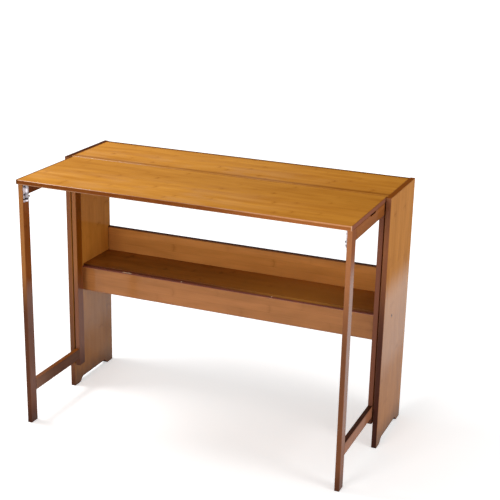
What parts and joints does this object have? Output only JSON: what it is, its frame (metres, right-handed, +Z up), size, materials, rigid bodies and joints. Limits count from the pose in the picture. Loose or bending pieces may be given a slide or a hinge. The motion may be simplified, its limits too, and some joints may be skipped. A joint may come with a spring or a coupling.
{
  "type": "folding desk",
  "caption": "Narrow bamboo desk with a shelf between its side panels, a hinged front leaf and swinging gate legs with barrel bolts that hold the leaf up; it folds flat.",
  "frame": {"origin": "on the floor, below the middle of the open desk's box", "axes": "+X along the desk to the right as the user faces it, +Y from the user to the back, +Z up"},
  "size_m": [1.014, 0.532, 0.75],
  "materials": {
    "bamboo_top": "clear gloss lacquer over honey-coloured bamboo, stained dark at the edges",
    "bamboo_panel": "clear satin lacquer over upright bamboo strips, stained dark at the edges",
    "bamboo_rail": "clear satin lacquer over bamboo strips",
    "bamboo_shelf": "dark brown stain under satin lacquer",
    "bamboo_gate": "clear satin lacquer over bamboo, stained dark at the edges and towards the floor",
    "dowel_wood": "bare",
    "hinge_steel": "zinc-plated, satin",
    "bolt_steel": "nickel-plated, satin",
    "screw_steel": "zinc-plated",
    "dark_screw": "browned steel, satin"
  },
  "bodies": {
    "body": {"side_panel_left": "bamboo_panel", "side_panel_right": "bamboo_panel", "fixed_top": "bamboo_top", "shelf_board": "bamboo_shelf", "back_rail": "bamboo_rail", "front_apron": "bamboo_rail", "carcase_dowels": "dowel_wood", "shelf_screws": "dark_screw", "leaf_hinge_left_top_plate": "hinge_steel", "leaf_hinge_left_pin": "hinge_steel", "leaf_hinge_middle_top_plate": "hinge_steel", "leaf_hinge_middle_pin": "hinge_steel", "leaf_hinge_right_top_plate": "hinge_steel", "leaf_hinge_right_pin": "hinge_steel", "top_hinge_screws": "screw_steel", "upper_hinge_panel_plate_left": "hinge_steel", "upper_hinge_pin_left": "hinge_steel", "lower_hinge_panel_plate_left": "hinge_steel", "lower_hinge_pin_left": "hinge_steel", "upper_hinge_panel_plate_right": "hinge_steel", "upper_hinge_pin_right": "hinge_steel", "lower_hinge_panel_plate_right": "hinge_steel", "lower_hinge_pin_right": "hinge_steel", "panel_hinge_screws": "screw_steel"},
    "leaf": {"drop_leaf": "bamboo_top", "leaf_hinge_left_leaf_plate": "hinge_steel", "leaf_hinge_middle_leaf_plate": "hinge_steel", "leaf_hinge_right_leaf_plate": "hinge_steel", "leaf_hinge_screws": "screw_steel"},
    "gate_left": {"gate_leg_left": "bamboo_gate", "gate_stile_left": "bamboo_gate", "gate_top_rail_left": "bamboo_gate", "gate_bottom_rail_left": "bamboo_gate", "upper_hinge_gate_plate_left": "hinge_steel", "lower_hinge_gate_plate_left": "hinge_steel", "gate_hinge_screws_left": "screw_steel", "bolt_guide_left": "bolt_steel", "bolt_screws_left": "screw_steel"},
    "gate_right": {"gate_leg_right": "bamboo_gate", "gate_stile_right": "bamboo_gate", "gate_top_rail_right": "bamboo_gate", "gate_bottom_rail_right": "bamboo_gate", "upper_hinge_gate_plate_right": "hinge_steel", "lower_hinge_gate_plate_right": "hinge_steel", "gate_hinge_screws_right": "screw_steel", "bolt_guide_right": "bolt_steel", "bolt_screws_right": "screw_steel"},
    "bolt_left": {"bolt_rod_left": "bolt_steel"},
    "bolt_right": {"bolt_rod_right": "bolt_steel"}
  },
  "joints": [
    {"name": "gate_left_swing", "type": "hinge", "parent": "body", "child": "gate_left", "pos_m": [-0.4899, 0.0615, 0.168], "axis": [0, 0, 1], "range_deg": [0, 90]},
    {"name": "gate_right_swing", "type": "hinge", "parent": "body", "child": "gate_right", "pos_m": [0.4899, 0.0615, 0.168], "axis": [0, 0, -1], "range_deg": [0, 90]},
    {"name": "leaf_lift", "type": "hinge", "parent": "body", "child": "leaf", "pos_m": [0, 0.0415, 0.7329], "axis": [-1, 0, 0], "range_deg": [0, 3.5]},
    {"name": "bolt_left_slide", "type": "slide", "parent": "gate_left", "child": "bolt_left", "axis": [0, 0, 1], "range_m": [0, 0.008]},
    {"name": "bolt_right_slide", "type": "slide", "parent": "gate_right", "child": "bolt_right", "axis": [0, 0, 1], "range_m": [0, 0.008]}
  ]
}
